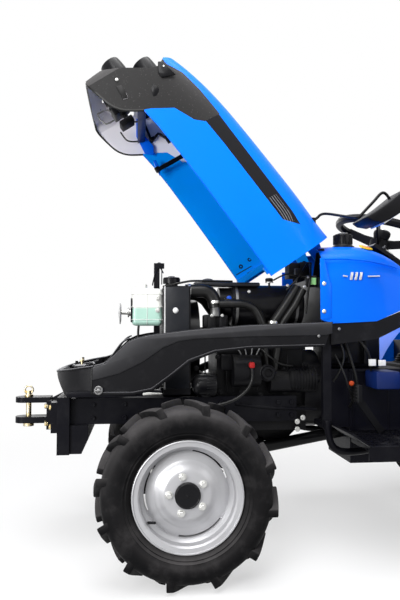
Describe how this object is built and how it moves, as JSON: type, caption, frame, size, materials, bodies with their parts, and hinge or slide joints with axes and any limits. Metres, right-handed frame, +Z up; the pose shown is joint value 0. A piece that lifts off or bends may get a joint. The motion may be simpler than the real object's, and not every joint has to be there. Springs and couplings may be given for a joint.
{
  "type": "compact tractor",
  "caption": "Compact four-wheel-drive tractor with its hood tilted open, steering front axle, folding roll-over bar, three-point hitch and towing jaw.",
  "frame": {"origin": "on the ground, at the middle of the overall box", "axes": "+X to the tractor's left, +Y to its rear, +Z up"},
  "size_m": [1.11, 2.5899, 2.01],
  "materials": {
    "blue_paint": "gloss",
    "black_paint": "semi-gloss",
    "engine_black": "satin",
    "casting_blue": "satin",
    "silver_paint": "semi-gloss",
    "steel": "satin",
    "zinc": "satin",
    "black_plastic": "textured",
    "gloss_black": "gloss",
    "white_plastic": "translucent",
    "tyre": "matte",
    "hose": "satin",
    "pad": "vinyl",
    "lens": "clear",
    "red_lens": "gloss"
  },
  "bodies": {
    "chassis": {"front_frame": "black_paint", "front_hitch": "black_paint", "front_hitch_pin": "zinc", "front_axle": "engine_black", "steering_cylinder": "black_paint", "engine": "engine_black", "radiator": "black_paint", "coolant_bottle": "white_plastic", "battery": "black_plastic", "air_cleaner": "black_plastic", "coolant_hoses": "hose", "side_fairings": "black_plastic", "nose_tray": "black_plastic", "dash_cowl": "blue_paint", "dash_trim": "black_plastic", "fuel_cap": "gloss_black", "cowl_frame": "black_paint", "hood_catch": "steel", "steering_column": "black_plastic", "gearbox_housing": "casting_blue", "front_drive_tube": "black_paint", "rear_axle_housing": "casting_blue", "drawbar": "black_paint", "foot_platforms": "black_paint", "pedals": "black_paint", "gear_levers": "black_paint", "fenders": "blue_paint", "rear_lamps": "red_lens", "seat_base": "black_paint", "seat_cushions": "pad", "rops_posts": "black_paint", "top_link": "steel", "exhaust_muffler": "black_paint"},
    "hood": {"hood_shell": "blue_paint", "hood_nose": "black_plastic", "headlamps": "lens", "mirror": "gloss_black"},
    "left_knuckle": {"left_knuckle": "engine_black"},
    "right_knuckle": {"right_knuckle": "engine_black"},
    "front_left_wheel": {"front_left_rim": "silver_paint", "front_left_tyre": "tyre"},
    "front_right_wheel": {"front_right_rim": "silver_paint", "front_right_tyre": "tyre"},
    "rear_left_wheel": {"rear_left_rim": "silver_paint", "rear_left_tyre": "tyre"},
    "rear_right_wheel": {"rear_right_rim": "silver_paint", "rear_right_tyre": "tyre"},
    "tie_rod": {"tie_rod": "steel"},
    "steering_cylinder_rod": {"steering_cylinder_rod": "steel"},
    "steering_wheel": {"steering_wheel": "black_plastic"},
    "fan": {"fan": "black_plastic"},
    "rops_hoop": {"rops_hoop": "black_paint"},
    "lift_arms": {"lift_arms": "engine_black"},
    "lift_rods": {"lift_rods": "steel"},
    "lower_links": {"lower_links": "black_paint"},
    "pto_shaft": {"pto_shaft": "steel"}
  },
  "joints": [
    {"name": "hood_hinge", "type": "hinge", "parent": "chassis", "child": "hood", "pos_m": [0, -0.141, 1.07], "axis": [1, 0, 0], "range_deg": [0, 56]},
    {"name": "steering_left", "type": "hinge", "parent": "chassis", "child": "left_knuckle", "pos_m": [0.35, -0.683, 0.3], "axis": [0, 0, 1], "range_deg": [-38, 38]},
    {"name": "steering_right", "type": "hinge", "parent": "chassis", "child": "right_knuckle", "pos_m": [-0.35, -0.683, 0.3], "axis": [0, 0, 1], "range_deg": [-38, 38]},
    {"name": "tie_rod_end", "type": "hinge", "parent": "left_knuckle", "child": "tie_rod", "pos_m": [0.35, -0.573, 0.226], "axis": [0, 0, 1], "range_deg": [-38, 38]},
    {"name": "steering_rod_slide", "type": "slide", "parent": "chassis", "child": "steering_cylinder_rod", "axis": [1, 0, 0], "range_m": [-0.058, 0.058]},
    {"name": "steering_wheel_turn", "type": "hinge", "parent": "chassis", "child": "steering_wheel", "pos_m": [0, 0.163, 1.19], "axis": [0, 0.2588, 0.9659], "range_deg": [-532, 532]},
    {"name": "front_left_spin", "type": "hinge", "parent": "left_knuckle", "child": "front_left_wheel", "pos_m": [0.445, -0.683, 0.287], "axis": [1, 0, 0], "continuous": true},
    {"name": "front_right_spin", "type": "hinge", "parent": "right_knuckle", "child": "front_right_wheel", "pos_m": [-0.445, -0.683, 0.287], "axis": [1, 0, 0], "continuous": true},
    {"name": "rear_left_spin", "type": "hinge", "parent": "chassis", "child": "rear_left_wheel", "pos_m": [0.45, 0.737, 0.435], "axis": [1, 0, 0], "continuous": true},
    {"name": "rear_right_spin", "type": "hinge", "parent": "chassis", "child": "rear_right_wheel", "pos_m": [-0.45, 0.737, 0.435], "axis": [1, 0, 0], "continuous": true},
    {"name": "fan_spin", "type": "hinge", "parent": "chassis", "child": "fan", "pos_m": [0, -0.623, 0.745], "axis": [0, 1, 0], "continuous": true},
    {"name": "pto_spin", "type": "hinge", "parent": "chassis", "child": "pto_shaft", "pos_m": [0, 0.957, 0.43], "axis": [0, 1, 0], "continuous": true},
    {"name": "rops_fold", "type": "hinge", "parent": "chassis", "child": "rops_hoop", "pos_m": [0, 0.847, 1.18], "axis": [-1, 0, 0], "range_deg": [0, 105]},
    {"name": "lift_arm_swing", "type": "hinge", "parent": "chassis", "child": "lift_arms", "pos_m": [0, 0.877, 0.678], "axis": [1, 0, 0], "range_deg": [0, 50]},
    {"name": "lift_rod_swing", "type": "hinge", "parent": "lift_arms", "child": "lift_rods", "pos_m": [0, 1.05826, 0.59348], "axis": [1, 0, 0], "range_deg": [-57, 1]},
    {"name": "lower_link_swing", "type": "hinge", "parent": "chassis", "child": "lower_links", "pos_m": [0, 0.657, 0.3], "axis": [1, 0, 0], "range_deg": [-1, 29]}
  ],
  "couplings": [
    {"joint": "steering_right", "follows": "steering_left", "ratio": 1},
    {"joint": "tie_rod_end", "follows": "steering_left", "ratio": -1},
    {"joint": "steering_rod_slide", "follows": "steering_left", "m_per_rad": 0.0854},
    {"joint": "steering_wheel_turn", "follows": "steering_left", "ratio": 14},
    {"joint": "lift_rod_swing", "follows": "lift_arm_swing", "ratio": -1.133},
    {"joint": "lower_link_swing", "follows": "lift_arm_swing", "ratio": 0.568}
  ]
}
